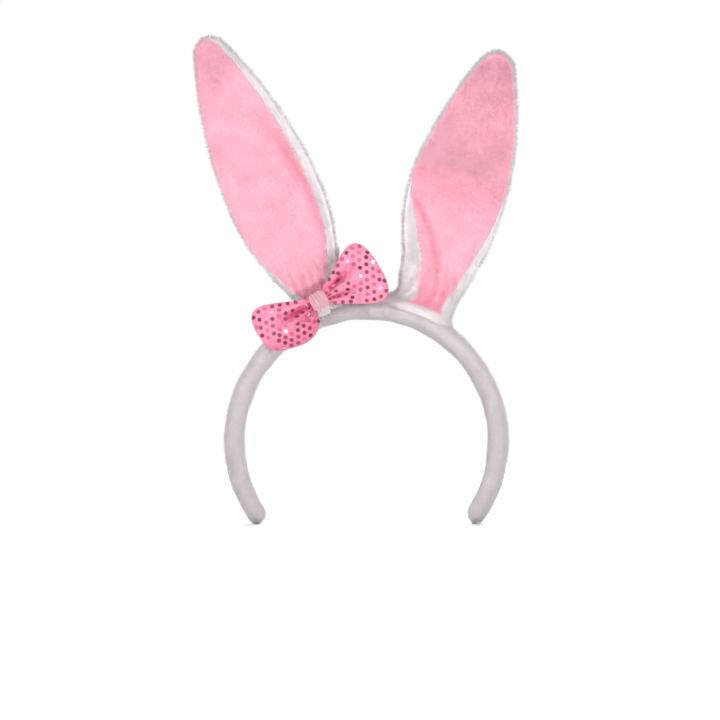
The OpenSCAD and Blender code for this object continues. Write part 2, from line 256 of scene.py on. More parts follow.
def woven(skin, core, marks):
    """The cloth itself: a closed tube of grid points made into triangles, with a fan at each end. The
    map follows rows and columns."""
    rows, columns = skin.shape[:2]
    i, j = np.meshgrid(np.arange(rows - 1), np.arange(columns), indexing="ij")
    i, j = i.ravel(), j.ravel()
    k = (j + 1) % columns
    corner = np.stack([i * columns + j, i * columns + k, (i + 1) * columns + k, (i + 1) * columns + j], -1)
    spot = np.stack([np.stack([i, j], -1), np.stack([i, j + 1], -1),
                     np.stack([i + 1, j + 1], -1), np.stack([i + 1, j], -1)], 1) / (rows - 1, columns)
    faces = corner[:, [0, 1, 2, 0, 2, 3]].reshape(-1, 3)
    place = spot[:, [0, 1, 2, 0, 2, 3]].reshape(-1, 2)
    hubs = np.stack([skin[0].mean(0), skin[-1].mean(0)])
    ring = np.arange(columns)
    start = np.stack([np.roll(ring, -1), ring, np.full(columns, rows * columns)], -1)
    last = (rows - 1) * columns
    stop = np.stack([last + ring, last + np.roll(ring, -1), np.full(columns, rows * columns + 1)], -1)
    points = np.concatenate([skin.reshape(-1, 3), hubs])
    faces = np.concatenate([faces, start, stop])
    place = np.concatenate([place, np.tile([[0.0, 0.5]], (3 * columns, 1)),
                            np.tile([[1.0, 0.5]], (3 * columns, 1))])
    values = {name: np.append(grid.ravel(), [grid[0].mean(), grid[-1].mean()])
              for name, grid in marks.items()}
    values["shade"] = np.zeros(len(points))
    values["pile"] = np.zeros(len(points))
    ends = unit(np.stack([skin[0].mean(0) - skin[1].mean(0), skin[-1].mean(0) - skin[-2].mean(0)]))
    facing = np.concatenate([outward(skin, core, True).reshape(-1, 3), ends])
    return points, faces, values, place, facing


def turned_out(points, faces):
    """The faces of a closed mesh, all turned over if the volume that they enclose comes out negative:
    the sum of each triangle's corners' triple product."""
    a, b, c = (points[faces[:, n]] for n in range(3))
    return faces if (a * np.cross(b, c)).sum() > 0 else faces[:, ::-1]


def made(name, parts, material):
    """A mesh object from whole arrays. Each part gives its points in mm, its triangles, values at the
    points, the map, and the normals at the points."""
    points = np.concatenate([p[0] for p in parts]) * MM
    starts = np.cumsum([0] + [len(p[0]) for p in parts[:-1]])
    faces = np.concatenate([turned_out(p[0], p[1]) + n for p, n in zip(parts, starts)])
    place = np.concatenate([p[3] for p in parts])
    mesh = bpy.data.meshes.new(name)
    mesh.vertices.add(len(points))
    mesh.vertices.foreach_set("co", points.astype(np.float32).ravel())
    mesh.loops.add(faces.size)
    mesh.loops.foreach_set("vertex_index", faces.astype(np.int32).ravel())
    mesh.polygons.add(len(faces))
    mesh.polygons.foreach_set("loop_start", np.arange(0, faces.size, 3, dtype=np.int32))
    mesh.update(calc_edges=True)
    mesh.polygons.foreach_set("use_smooth", np.ones(len(faces), bool))
    mesh.uv_layers.new(name="OFBake").data.foreach_set("uv", place.astype(np.float32).ravel())
    for mark in parts[0][2]:
        values = np.concatenate([p[2][mark] for p in parts])
        mesh.attributes.new(mark, "FLOAT", "POINT").data.foreach_set("value", values.astype(np.float32))
    mesh.normals_split_custom_set_from_vertices(np.concatenate([p[4] for p in parts]).tolist())
    mesh.materials.append(material)
    piece = bpy.data.objects.new(name, mesh)
    scene.collection.objects.link(piece)
    return piece


def nodes_of(name, roughness, sheen=0.0):
    """A new material, its nodes and links, and its shader, set matt."""
    material = bpy.data.materials.new(name)
    material.use_nodes = True
    tree = material.node_tree
    shader = tree.nodes["Principled BSDF"]
    shader.inputs["Roughness"].default_value = roughness
    shader.inputs["Sheen Weight"].default_value = sheen
    shader.inputs["Sheen Roughness"].default_value = 0.5
    return material, tree, shader


def mark_value(tree, name):
    """The socket that gives a value stored at the points of a piece."""
    node = tree.nodes.new("ShaderNodeAttribute")
    node.attribute_name = name
    return node.outputs["Fac"]


def sums(tree, kind, first, second):
    """A sum of two sockets or numbers: ADD, MULTIPLY and so on."""
    node = tree.nodes.new("ShaderNodeMath")
    node.operation = kind
    for socket, value in zip(node.inputs, (first, second)):
        if isinstance(value, (int, float)):
            socket.default_value = value
        else:
            tree.links.new(value, socket)
    return node.outputs[0]


def mixed(tree, how_much, first, second):
    """A colour between two colours, each a socket or three numbers."""
    node = tree.nodes.new("ShaderNodeMix")
    node.data_type = "RGBA"
    for socket, value in ((node.inputs[0], how_much), (node.inputs[6], first), (node.inputs[7], second)):
        if isinstance(value, tuple):
            socket.default_value = (*value, 1)
        elif isinstance(value, (int, float)):
            socket.default_value = value
        else:
            tree.links.new(value, socket)
    return node.outputs[2]


def noise(tree, scale, detail=3.0):
    """Noise on the object's own coordinates, in waves a metre."""
    node = tree.nodes.new("ShaderNodeTexNoise")
    node.inputs["Scale"].default_value = scale
    node.inputs["Detail"].default_value = detail
    place = tree.nodes.new("ShaderNodeTexCoord")
    tree.links.new(place.outputs["Object"], node.inputs["Vector"])
    return node.outputs["Fac"]


def plush(name):
    """Plush with short pile: white or pink by the mark pink, with painted shade as a deeper pink where
    the pile is hidden and the cloth folds (deep), a little uneven from tuft to tuft, paler at the tips,
    and darker by painted shade at the ear tips, the foot, the band's seam and its inner side."""
    material, tree, shader = nodes_of(name, 0.9, 0.2)
    pink, deep, painted_shade_and_mottle = (mark_value(tree, m) for m in ("pink", "deep", "painted_shade_and_mottle"))
    tip = sums(tree, "POWER", mark_value(tree, "pile"), 0.6)
    white = mixed(tree, tip, (0.72, 0.665, 0.685), (0.80, 0.745, 0.765))
    rose = mixed(tree, tip, (0.95, 0.43, 0.54), (0.99, 0.555, 0.655))
    # Painted shade: a deeper pink where the pile is hidden and the cloth folds.
    painted_fold_shade = mixed(tree, tip, (0.96, 0.31, 0.44), (0.98, 0.42, 0.53))
    rose = mixed(tree, deep, rose, painted_fold_shade)
    colour = mixed(tree, pink, white, rose)
    blotch = sums(tree, "MULTIPLY", sums(tree, "SUBTRACT", noise(tree, 70), 0.5), 0.08)
    uneven = sums(tree, "MULTIPLY", mark_value(tree, "shade"), 0.04)
    # Painted shade darkens the plush by the band's and ears' shade mark; the blotches and tufts vary it at random.
    level = sums(tree, "SUBTRACT", sums(tree, "ADD", sums(tree, "ADD", blotch, uneven), 1.0), painted_shade_and_mottle)
    tint = tree.nodes.new("ShaderNodeHueSaturation")
    tree.links.new(level, tint.inputs["Value"])
    tree.links.new(colour, tint.inputs["Color"])
    tree.links.new(tint.outputs["Color"], shader.inputs["Base Color"])
    shader.inputs["Specular IOR Level"].default_value = 0.2
    return material


white_plush = plush("white_plush")


def band_point(side, angle, out, back):
    """A point of the band in mm: at an angle from the top, out from the middle of its section and
    back from the middle of its width."""
    r = mid_r + out
    return np.stack([side * r * np.sin(angle), back + 0 * r, r * np.cos(angle)], -1)


def bends(piece):
    """Bakes the piece's placement into its mesh."""
    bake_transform(piece)


def bends_at_leg(piece):
    """Bakes the placement of a piece of the band into its mesh."""
    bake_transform(piece)


def sleeve_skin(side):
    """The sleeve's cloth: a rounded oblong carried round the head from the top to a leg's tip, where
    it closes in a half round. Along it goes the length, across it the turn round the section, which
    starts at the back seam. The padding under it is a little lumpy."""
    length = mid_r * leg_to + leg_overhang
    straight = length - tip_round
    tip = length - tip_round * np.cos(np.linspace(0.15, 1.53, 12))
    along = np.concatenate([np.linspace(-top_overlap, straight, 84), tip])
    closing = np.sqrt(np.clip(1 - ((along - straight) / (tip_round + 0.05)).clip(0) ** 2, 0.0004, 1))
    closing = closing * (1 - 0.12 * smooth((0.8 - along) / 2.4))
    turn = np.linspace(0, 2 * np.pi, 48, endpoint=False)
    half_t = (band_t / 2 - pile_room) * closing
    half_w = (band_w / 2 - pile_room) * closing
    back = half_w[:, None] * np.sign(np.cos(turn)) * np.abs(np.cos(turn)) ** 0.8
    out = half_t[:, None] * np.sign(np.sin(turn)) * np.abs(np.sin(turn)) ** 0.8
    angle = (along / mid_r)[:, None] + 0 * turn
    flat = band_point(side, angle, out, back)
    size = 1 + 0.05 * clouds(flat, 22, 11)
    size = size * (1 + 0.06 * np.cos(9 * turn) * smooth((along[:, None] - length + 9) / 7))
    skin = band_point(side, angle, out * size, back * size)
    core = band_point(side, along / mid_r, 0 * along, 0 * along)
    return skin, core, along, turn


for side, word in ((-1, "right"), (1, "left")):
    skin, core, along, turn = sleeve_skin(side)
    inner = smooth((-np.sin(turn) - 0.35) / 0.5)
    seam = np.exp(-((np.angle(np.exp(1j * turn)) * 6.5 / 1.3) ** 2))
    depth = (2.9 - 1.3 * inner - 1.6 * seam) + 0 * along[:, None]
    depth = depth + 0.25 * clouds(skin, 15, 12)
    # Painted shade: the band's pile is a little darker all over, and more along the back seam and on the inner
    # side towards the head.
    marks = {"pink": 0 * depth, "deep": 0 * depth, "painted_shade_and_mottle": 0.07 + 0.05 * seam + 0.03 * inner + 0 * depth}
    sleeve = made(word + "_band_sleeve", [
        woven(skin, core, marks),
        pile(skin, core, marks, depth, sleeve_spikes, 20 + side, closed=True, comb=0.25)], white_plush)
    bends_at_leg(sleeve)
    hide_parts(word + "_leg_sleeve", word + "_leg_end", *(["crown_sleeve"] if side > 0 else []))

# ---- Ears ----
# Each ear is a pink plush front and a white plush back, sewn together round the edge over wadding and
# a wire loop. The white back wraps a little way round to the front. Towards the foot the panels are
# gathered, and their bottom edge is turned out and sewn to the top of the band.

ear_h = 174.0            # the ear's tip, above the band
ear_half = 30.5
widest_at = 68.0
ear_foot_z = 8.0
foot_half = 12.0
ear_tip_r = 12.0
cloth_inset = 2.4        # from the ear's outline to its cloth, which leaves room for the pile
fold_z = 74.0
skirt_foot = -3.5        # heights at which the ear starts and one piece gives way to the next
skirt_top = 14.0
gather_top = 26.5
overlap = 0.6            # how far two pieces run past such a height
foot_spikes = 9500
panel_spikes = 45000
pink_plush = plush("pink_plush")


def side_radius(foot_in, drop):
    """Radius of an arc that leaves the widest place straight down and comes in by foot_in over drop."""
    return (foot_in ** 2 + drop ** 2) / (2 * foot_in)


def half_width(z, inset):
    """Half of the ear's width at a height above the band, for an outline moved in by inset: a round
    side up to the widest place, a long flat arc above it, and a round tip that it runs into. Below,
    the foot spreads on to the band."""
    low_r = side_radius(ear_half - foot_half, widest_at - ear_foot_z)
    rise = ear_h - ear_tip_r - widest_at
    high_r = (ear_half ** 2 + rise ** 2 - ear_tip_r ** 2) / (2 * (ear_half - ear_tip_r))
    meet = rise / (high_r - ear_tip_r)
    low = ear_half - low_r + np.sqrt(np.clip((low_r - inset) ** 2 - (z - widest_at) ** 2, 0, None))
    high = ear_half - high_r + np.sqrt(np.clip((high_r - inset) ** 2 - (z - widest_at) ** 2, 0, None))
    tip = np.sqrt(np.clip((ear_tip_r - inset) ** 2 - (z - ear_h + ear_tip_r) ** 2, 1e-4, None))
    above = np.where(z < ear_h - ear_tip_r + (ear_tip_r - inset) * meet, high, tip)
    w = np.where(z < widest_at, low, above)
    spread = 12.4 - inset + 5.0 * smooth((5 - z) / 9)
    return np.where(z < 40, (w + spread + np.sqrt((w - spread) ** 2 + 5)) / 2 - 0.12, w)


class Ear:
    """One ear's own numbers: its frame at the cuff and at the lower half, and how it is shaped."""

    def __init__(self, word):
        side = -1 if word == "right" else 1
        tilt, splay, fold = (joints[f"{word}_ear_{j}"] for j in ("tilt", "splay", "fold"))
        self.word, self.side = word, side
        self.cuff = np.array(splay["pos_m"]) / MM
        self.fold = np.array(fold["pos_m"]) / MM
        self.tilt = np.array(tilt["pos_m"]) / MM
        radial = unit(self.cuff)
        self.root_axes = np.stack([unit(np.array(tilt["axis"])), np.array([0.0, 1.0, 0.0]), radial])
        across = unit(np.array(fold["axis"]))
        back = unit(side * np.array(splay["axis"]))
        self.axes = np.stack([across, back, np.cross(across, back)])
        self.base = np.linalg.norm(self.cuff) - band_r      # height of the cuff's centre
        self.bend = math.radians(90 - fold["range_deg"][1])
        self.cup = 3.5 if side < 0 else 8.0                      # how far the edges come forwards
        self.dent = 2.6 if side < 0 else 1.6                     # depth of the valleys
        self.flare = (6.0, 5.0) if side < 0 else (15.0, 8.0)     # spread of the foot at -X and at +X
        self.reach = 1.0 if side < 0 else 0.97                   # the upper half, drawn up by its bend

    def fold_line(self, x):
        """Height of the bend at each place across the ear: level on the right ear, slanting on the left."""
        return fold_z + (0 if self.side < 0 else -0.29 * (x + 6))

    def valley(self, x, z):
        """How strongly a place lies in one of the soft valleys of the front, from 0 to 1."""
        if self.side < 0:
            line = (0.45 + 0.33 * np.clip((118 - z) / 90, 0, 1)) * half_width(z, 0)
            return np.exp(-((x - line) / 4.2) ** 2) * smooth((128 - z) / 45) * smooth((z - 8) / 14)
        line = -21 * np.clip((z - 10) / 51, 0, 2) ** 2.2
        inner = np.exp(-((x - line) / 3.2) ** 2) * smooth((70 - z) / 10) * smooth((z - 10) / 16)
        bent = np.exp(-((z - self.fold_line(x)) / 9) ** 2) * smooth((x + 30) / 8) * smooth((24 - x) / 14)
        return np.maximum(inner, 0.3 * bent)

    def place(self, x, y, z):
        """A point of the ear in mm, from its place across, its distance behind the middle of its
        thickness and its height above the band. The edges cup forwards with the square of the place
        across, the valleys press back, the top bends forwards about the fold, and the foot turns from
        the band's line to the ear's."""
        w = half_width(z, 0)
        raised = smooth((z - 6) / 34)
        low = np.clip(1 - z / 32, 0, None) ** 1.3
        x = x + low * np.where(x < 0, self.flare[0], self.flare[1]) * x / w
        z = z - x ** 2 / (2 * band_r) * smooth((16 - z) / 14)
        z = fold_z + (z - fold_z) * np.where(z > fold_z, self.reach, 1.0)
        y = y - self.cup * (x / w) ** 2 * raised * (1 - 0.45 * smooth((z - 105) / 60))
        y = y + self.dent * self.valley(x, z)
        y = y + 0.5 * clouds(np.stack([x, 0 * x, z], -1), 30, 40 + self.side) * raised
        angle = self.bend * smooth((z - self.fold_line(x)) / 64 + 0.5)
        rise = z - fold_z
        y, z = y * np.cos(angle) - rise * np.sin(angle), fold_z + y * np.sin(angle) + rise * np.cos(angle)
        local = np.stack([x, y, z - self.base], -1)
        up = smooth((z + 2) / 13)[..., None]
        return self.cuff + local @ self.root_axes * (1 - up) + local @ self.axes * up

    def half_thickness(self, z):
        """Half of the thickness at the middle: even in the blade, less at the tip, more at the foot."""
        w = half_width(z, cloth_inset)
        return 4.2 * w / (w + 4) + 2.4 * smooth((30 - z) / 24) + 1.8 * smooth((5 - z) / 7)

    def seams(self, z):
        """Where the white wraps round to, on the front: the two places across, in mm."""
        w = half_width(z, cloth_inset)
        if self.side < 0:
            left = np.interp(z, [-2, 4, 10, 20, 32, 48], [8, 5, 3.6, 2.6, 1.2, 0.2])
            right = np.interp(z, [-2, 4, 10, 20, 40, 120, 160], [8, 6.5, 6, 5.5, 4.5, 4.2, 2.5])
        else:
            left = np.interp(z, [-1, 2, 13, 30, 52, 62, 76], [8, 6.0, 6.4, 10.5, 6.5, 2.6, 0.2])
            right = np.interp(z, [-1, 2, 19, 41, 62, 78], [6, 4.2, 4.4, 4, 1.6, 0.2])
        low, high = -w + left, w - right
        middle = np.where(low > high, (low + high) / 2, 0)
        return np.where(low > high, middle, low) / w, np.where(low > high, middle, high) / w


def shell(ear, z, turn):
    """The ear's outer cloth: at each height, a lens-shaped loop. Its place across is the cosine of
    the turn, its half thickness the sine to the power 0.85; the front is where the sine is negative.
    Near the foot it lies in small upright folds."""
    w = half_width(z, cloth_inset)
    wave = np.sin(turn)
    y = ear.half_thickness(z) * np.sign(wave) * np.abs(wave) ** 0.85
    x = w * np.cos(turn)
    where = smooth((34 - z) / 16) * smooth((z - 1) / 8) * np.abs(wave)
    folds = 0.7 * np.cos(x * 1.25 + 0.8 * np.cos(z * 0.2)) * where
    return ear.place(x, y + folds, z)


def ear_marks(ear, x, z, front):
    """What colours the pile: pink on the front; painted shade as a deeper pink in the valleys and low in the foot,
    and as darkening towards the tip and at the bottom of the foot; the white a little paler; random mottling.
    """
    # Painted shade: a deeper pink low in the foot and in the valleys.
    inside = smooth((30 - z) / 24) * 0.7
    deep = np.clip(np.maximum(0.8 * ear.valley(x, z), inside), 0, 1) * front
    cloudy = 0.025 * clouds(np.stack([x, 0 * x, z], -1), 24, 60 + ear.side)
    # Painted shade: darker towards the tip and at the bottom of the foot; the cloudy part is random mottling.
    painted_shade_and_mottle = 0.16 * smooth((z - 128) / 36) + 0.10 * smooth((8 - z) / 8) - 0.035 * (1 - front) + cloudy
    return {"pink": front, "deep": deep, "painted_shade_and_mottle": painted_shade_and_mottle + 0 * front}


def ear_panel(ear, front):
    """One panel of the blade: the part of the shell between the seams, and an inner sheet that closes
    it from seam to seam. The sheet bows back, the back panel's more, so that the two stay apart."""
    rise = np.linspace(0, 1, 110)
    foot, tip = gather_top - 2 * overlap, ear_h - cloth_inset - 0.02
    z = foot + (tip - foot) * (1 - (1 - rise) ** 1.7)
    low, high = ear.seams(z)
    first, second = 2 * np.pi - np.arccos(np.clip(low, -1, 1)), 2 * np.pi - np.arccos(np.clip(high, -1, 1))
    if not front:
        first, second = second - 2 * np.pi, first
    count = 44 if front else 60
    t = np.linspace(0, 1, count)
    turn = first[:, None] + (second - first)[:, None] * t
    z_grid = z[:, None] + 0 * turn
    skin = shell(ear, z_grid, turn)
    w = half_width(z, cloth_inset)
    ends = w * np.cos(first), w * np.cos(second)
    s = np.linspace(1, 0, 10)[1:-1]
    x_in = ends[0][:, None] * (1 - s) + ends[1][:, None] * s
    y_edge = [ear.half_thickness(z) * np.sign(np.sin(a)) * np.abs(np.sin(a)) ** 0.85
              for a in (first, second)]
    y_in = y_edge[0][:, None] * (1 - s) + y_edge[1][:, None] * s
    y_in = y_in + (0.3 if front else 0.9) * np.sin(np.pi * s)
    inner = ear.place(x_in, y_in, z[:, None] + 0 * x_in)
    loop = np.concatenate([skin, inner], 1)
    x_skin = w[:, None] * np.cos(turn)
    flag = np.ones_like(turn) if front else np.zeros_like(turn)
    marks = ear_marks(ear, x_skin, z_grid, flag)
    loop_marks = {k: np.concatenate([v, np.repeat(v[:, -1:], 8, 1)], 1) for k, v in marks.items()}
    core = ear.place(0 * z, 0 * z, z)
    return skin, core, marks, loop, loop_marks


def ear_stretch(ear, bottom, top, rows):
    """A stretch of the whole shell near the foot, front and back together, with the marks that make
    the pink run down the front to a point between the seams."""
    z = np.linspace(bottom, top, rows)
    turn = np.linspace(0, 2 * np.pi, 72, endpoint=False)
    z_grid, turn_grid = np.meshgrid(z, turn, indexing="ij")
    skin = shell(ear, z_grid, turn_grid)
    low, high = ear.seams(z)
    across = np.cos(turn_grid)
    w = half_width(z, cloth_inset)[:, None]
    pink = smooth((across - low[:, None]) * w / 1.2 + 0.5)
    pink = pink * smooth((high[:, None] - across) * w / 1.2 + 0.5)
    pink = pink * (np.sin(turn_grid) < 0) * smooth((z_grid - 0.5) / 2.5)
    marks = ear_marks(ear, across * w, z_grid, pink)
    return skin, ear.place(0 * z, 0 * z, z), marks


for word in ("right", "left"):
    ear = Ear(word)
    # foot: its bottom edge is buried in the pile of the band
    skin, core, marks = ear_stretch(ear, skirt_foot, skirt_top + overlap, 24)
    z = np.linspace(skirt_foot, skirt_top + overlap, 24)[:, None]
    depth = 1.4 + 1.3 * smooth((z + 2) / 7) + 0.3 * clouds(skin, 12, 70)
    foot = made(word + "_ear_skirt", [
        woven(skin, core, marks),
        pile(skin, core, marks, depth, foot_spikes, 71 + ear.side, closed=True, comb=-0.3)], white_plush)
    bends(foot)
    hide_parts(word + "_ear_foot")
    # gathered lower end of the panels
    skin, core, marks = ear_stretch(ear, skirt_top - overlap, gather_top + overlap, 22)
    depth = 2.7 + 0.3 * clouds(skin, 12, 73)
    gather = made(word + "_ear_gather", [
        woven(skin, core, marks),
        pile(skin, core, marks, depth, foot_spikes, 74 + ear.side, closed=True, comb=0.3)], white_plush)
    bends(gather)
    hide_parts(word + "_ear_cuff")
    # the two panels of the blade
    for front in (True, False):
        skin, core, marks, loop, loop_marks = ear_panel(ear, front)
        depth = (2.1 if front else 2.8) + 0.3 * clouds(skin, 14, 76)
        panel = made(word + ("_ear_front" if front else "_ear_back"), [
            woven(loop, core, loop_marks),
            pile(skin, core, marks, depth, panel_spikes, 77 + 2 * ear.side + front, comb=0.2)],
            pink_plush if front else white_plush)
        bends(panel)
        part = "front" if front else "back"
        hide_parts(f"{word}_ear_{part}_lower", f"{word}_ear_{part}_upper")

# ---- What the ears hold ----
# A thin sheet of wadding between the two panels, and round its edge a loop of steel wire that keeps
# the ear where it is bent. Both follow the bent shape of the blade.


def grained(tree, shader, height, strength, depth):
    """A fine relief on a material: a bump of the given strength and depth in mm."""
    lift = tree.nodes.new("ShaderNodeBump")
    lift.inputs["Strength"].default_value = strength
    lift.inputs["Distance"].default_value = depth * MM
    tree.links.new(height, lift.inputs["Height"])
    tree.links.new(lift.outputs["Normal"], shader.inputs["Normal"])


def finish(name, roughness, colour, grain, depth, metal=0.0, sheen=0.0):
    """A plain finish with a fine grain: noise of the given scale lifts and colours it a little."""
    material, tree, shader = nodes_of(name, roughness, sheen)
    fine = noise(tree, grain)
    darker = tuple(c * 0.84 for c in colour)
    tree.links.new(mixed(tree, fine, darker, colour), shader.inputs["Base Color"])
    grained(tree, shader, fine, 0.6, depth)
    shader.inputs["Metallic"].default_value = metal
    return material


wadding = finish("wadding", 0.95, (0.80, 0.80, 0.82), 900, 0.4, sheen=0.2)
steel_wire = finish("steel_wire", 0.28, (0.62, 0.63, 0.65), 2600, 0.02, metal=1.0)


def tube(path, radius, across, sides=8):
    """A round section carried along a path: at each point a ring in the plane of two directions, the
    given one made square to the path and the one square to both. Returns the rings and the path."""
    along = unit(np.gradient(path, axis=0))
    first = unit(across - (across * along).sum(-1, keepdims=True) * along)
    second = np.cross(along, first)
    turn = np.linspace(0, 2 * np.pi, sides, endpoint=False)
    ring = first[:, None] * np.cos(turn)[:, None] + second[:, None] * np.sin(turn)[:, None]
    return path[:, None] + radius * ring, path


def plain(grid):
    """Marks for a piece that has no pile."""
    return {"pink": np.zeros(grid.shape[:2])}


filling_top, filling_foot, filling_inset = ear_h - 6.0, gather_top + 6, 5.5
wire_top, wire_foot, wire_inset, wire_r = ear_h - 6.02, gather_top - 4, 6.0, 0.75
for word in ("right", "left"):
    ear = Ear(word)
    z = filling_top - (filling_top - filling_foot) * (1 - np.linspace(0, 1, 60)) ** 1.6
    turn = np.linspace(0, 2 * np.pi, 32, endpoint=False)
    z_grid, turn_grid = np.meshgrid(z, turn, indexing="ij")
    w = half_width(z_grid, filling_inset)
    y = 0.5 * ear.half_thickness(z_grid) * np.sin(turn_grid)
    skin = ear.place(w * np.cos(turn_grid), y, z_grid)
    core = ear.place(0 * z, 0 * z, z)
    filling = made(word + "_ear_filling", [woven(skin, core, plain(skin))], wadding)
    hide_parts(word + "_ear_wadding_lower", word + "_ear_wadding_upper")
    rise = np.linspace(0, 1, 70)
    z = wire_top - (wire_top - wire_foot) * (1 - rise) ** 1.8
    leg = np.stack([half_width(z, wire_inset), z], -1)
    both = np.concatenate([leg * (-1, 1), leg[::-1]])
    path = ear.place(both[:, 0], 0 * both[:, 0], both[:, 1])
    rings, line = tube(path, wire_r, ear.axes[1])
    wire = made(word + "_ear_wire", [woven(rings, line, plain(rings))], steel_wire)
    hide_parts(word + "_ear_wire_lower", word + "_ear_wire_upper")
    for piece in (filling, wire):
        bends(piece)

# ---- Bow loops ----
# Two loops of thin pink knit, pinched together at the knot and lightly stuffed. Pleats run out from
# the pinch. The stuffing's push is worked out by cloth simulation, with the pinched end held still.

knot_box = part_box("bow_knot")
knot = np.array((knot_box[0] + knot_box[1]) / 2) / MM
bow_slope = math.radians(31)
bow_droop = math.radians(5)
loop_neck = 4.2
loop_end = 40.5
loop_thick = 7.0
loop_rows, loop_columns = 64, 88


def bow_frame(side):
    """The bow's directions: along, back and up. The right loop points the other way and droops."""
    along = np.array([math.cos(bow_slope), 0, math.sin(bow_slope)])
    up = np.array([-math.sin(bow_slope), 0, math.cos(bow_slope)])
    if side < 0:
        c, s = math.cos(bow_droop), math.sin(bow_droop)
        along, up = -along * c - up * s, up * c - along * s
    return np.stack([along, [0, 1, 0], up])


def loop_size(side, x):
    """Half of a loop's height above and below its middle line, and how far its outer end has closed.
    Heights grow evenly from the pinch, except that the drooping loop hangs low at once, and the end
    closes as an oval of power 2.6."""
    closed = np.clip(1 - (np.clip((x - 20) / (loop_end - 20), 0, 1)) ** 2.6, 0, 1) ** (1 / 2.6)
    above = below = 4.4 + 0.60 * (x - loop_neck)
    if side < 0:
        above = 4.4 + 0.56 * (x - loop_neck)
        below = 4.6 + 11.5 * (1 - np.exp(-(x - loop_neck) / 4.5))
        below = below * (1 - 0.2 * smooth((x - 16) / 18))
    return above, below, closed


def loop_folds(side, x, level):
    """Depth of the pleats on the front, in mm, at a place along the loop and at a level from -1 at
    its lower edge to 1 at its upper one: one deep fold, a lesser one, and ripples, all dying outwards;
    and how strongly the two folds are painted darker, as painted shade."""
    main, second = ((0.20, -0.22) if side < 0 else (0.40, -0.34))
    deep = np.exp(-((level - main) / 0.19) ** 2) * smooth((33 - x) / 20)
    lesser = np.exp(-((level - second) / 0.15) ** 2) * smooth((30 - x) / 20)
    ripple = np.cos(level * 17 + side) * smooth((26 - x) / 22)
    return 4.6 * deep + 2.8 * lesser + 1.0 * ripple, np.clip(deep + 0.6 * lesser, 0, 1)


def loop_skin(side):
    """A loop's cloth: along it goes the length from the pinch, across it the turn round a lens-shaped
    section, front first where the sine is negative."""
    q = np.linspace(0, 1, loop_rows)
    x = loop_neck + (loop_end - loop_neck) * (1 - (1 - q) ** 1.7)
    turn = np.linspace(0, 2 * np.pi, loop_columns, endpoint=False)
    x_grid, turn_grid = np.meshgrid(x, turn, indexing="ij")
    above, below, closed = loop_size(side, x_grid)
    level = np.cos(turn_grid)
    high = np.where(level > 0, above, below) * level * np.maximum(closed, 0.02)
    wave = np.sin(turn_grid)
    thick = (2.6 + (loop_thick - 2.6) * smooth((x_grid - loop_neck) / 17)) * np.maximum(closed, 0.02) ** 0.8
    push, deep = loop_folds(side, x_grid, level)
    y = thick * np.sign(wave) * np.abs(wave) ** 0.8
    y = y + np.minimum(push * np.abs(wave) ** 0.7 * closed, np.clip(-y - 0.5, 0, None)) * (wave < 0)
    uneven = clouds(np.stack([x_grid, high, 0 * high + side * 50], -1), 9, 90)
    y = y + 0.35 * uneven * smooth((x_grid - 6) / 8)
    middle = -1.6 * smooth((x_grid - loop_neck) / 12)
    local = np.stack([x_grid, y + middle, high], -1)
    core = np.stack([x, middle[:, 0], 0 * x], -1) @ bow_frame(side) + knot
    # Painted shade: darker low on the drooping loop, in the pleats on the front, and along both edges where the
    # cloth turns from front to back.
    shaded = 0.35 * smooth((0.1 - level) / 0.9) if side < 0 else 0
    deep = np.maximum(np.maximum(deep, shaded) * (wave < 0), 0.55 * np.exp(-(wave / 0.1) ** 2))
    return local @ bow_frame(side) + knot, core, x, deep


def stuffed(name, skin, held_rows, cap):
    """The same grid after stuffing: cloth simulation with inner pressure and no gravity for 20 frames,
    the first rows pinned, and no point moved by more than the cap."""
    rows, columns = skin.shape[:2]
    i, j = np.meshgrid(np.arange(rows - 1), np.arange(columns), indexing="ij")
    k = (j + 1) % columns
    quads = np.stack([i * columns + j, i * columns + k, (i + 1) * columns + k, (i + 1) * columns + j], -1)
    mesh = bpy.data.meshes.new(name)
    lids = [list(range(columns)), [(rows - 1) * columns + n for n in range(columns)][::-1]]
    mesh.from_pydata((skin.reshape(-1, 3) * MM).tolist(), [], quads.reshape(-1, 4).tolist() + lids)
    body = bpy.data.objects.new(name, mesh)
    scene.collection.objects.link(body)
    pins = body.vertex_groups.new(name="pinched")
    pins.add(list(range(held_rows * columns)), 1.0, "REPLACE")
    cloth = body.modifiers.new("stuffing", "CLOTH")
    cloth.settings.quality = 6
    cloth.settings.mass = 0.15
    cloth.settings.tension_stiffness = 12
    cloth.settings.compression_stiffness = 12
    cloth.settings.shear_stiffness = 4
    cloth.settings.bending_stiffness = 0.3
    cloth.settings.use_pressure = True
    cloth.settings.uniform_pressure_force = 4
    cloth.settings.effector_weights.gravity = 0
    cloth.settings.vertex_group_mass = "pinched"
    for step in range(1, 21):
        scene.frame_set(step)
    shape = body.evaluated_get(bpy.context.evaluated_depsgraph_get()).to_mesh()
    settled = np.zeros(len(shape.vertices) * 3, np.float32)
    shape.vertices.foreach_get("co", settled)
    move = settled.reshape(rows, columns, 3) / MM - skin
    far = np.linalg.norm(move, axis=-1, keepdims=True)
    scene.frame_set(1)
    bpy.data.objects.remove(body)
    return skin + move * np.minimum(1, cap / np.maximum(far, 1e-6))


